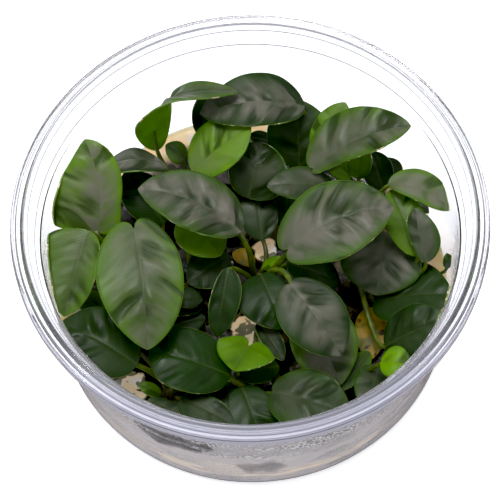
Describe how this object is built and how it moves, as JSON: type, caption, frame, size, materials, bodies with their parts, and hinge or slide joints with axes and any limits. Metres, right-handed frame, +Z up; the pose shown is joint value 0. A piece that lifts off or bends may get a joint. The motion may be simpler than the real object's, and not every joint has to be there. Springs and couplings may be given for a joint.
{
  "type": "potted anubias",
  "caption": "Open clear plastic culture cup with a bed of nutrient gel and crowded young dwarf anubias plantlets, each a creeping rhizome with a tuft of leaves.",
  "frame": {"origin": "centre of the cup's flat base, on the surface that it stands on", "axes": "+Z up along the cup's axis, +Y away from the picture's viewer, +X to the picture's right"},
  "size_m": [0.1, 0.1, 0.0438],
  "materials": {
    "cup_plastic": "clear moulded plastic, thin and glossy",
    "nutrient_gel": "cream nutrient gel, translucent and moist",
    "rhizome": "brown plant stem and root, matte",
    "leaf": "leathery green leaf with a waxy sheen",
    "old_leaf": "amber old leaf, limp and moist"
  },
  "bodies": {
    "root": {"cup": "cup_plastic", "gel": "nutrient_gel", "rhizome_back_left": "rhizome", "rhizome_back": "rhizome", "rhizome_left": "rhizome", "rhizome_middle": "rhizome", "rhizome_back_right": "rhizome", "rhizome_right": "rhizome", "rhizome_front_right": "rhizome", "rhizome_front": "rhizome", "rhizome_front_left": "rhizome", "rhizome_inner_left": "rhizome", "leaves_back_left": "leaf", "leaves_back": "leaf", "leaves_left": "leaf", "leaves_middle": "leaf", "leaves_back_right": "leaf", "leaves_right": "leaf", "leaves_front_right": "leaf", "leaves_front": "leaf", "leaves_front_left": "leaf", "leaves_inner_left": "leaf", "fallen_leaf_right": "old_leaf", "fallen_leaf_middle": "old_leaf"}
  },
  "joints": []
}
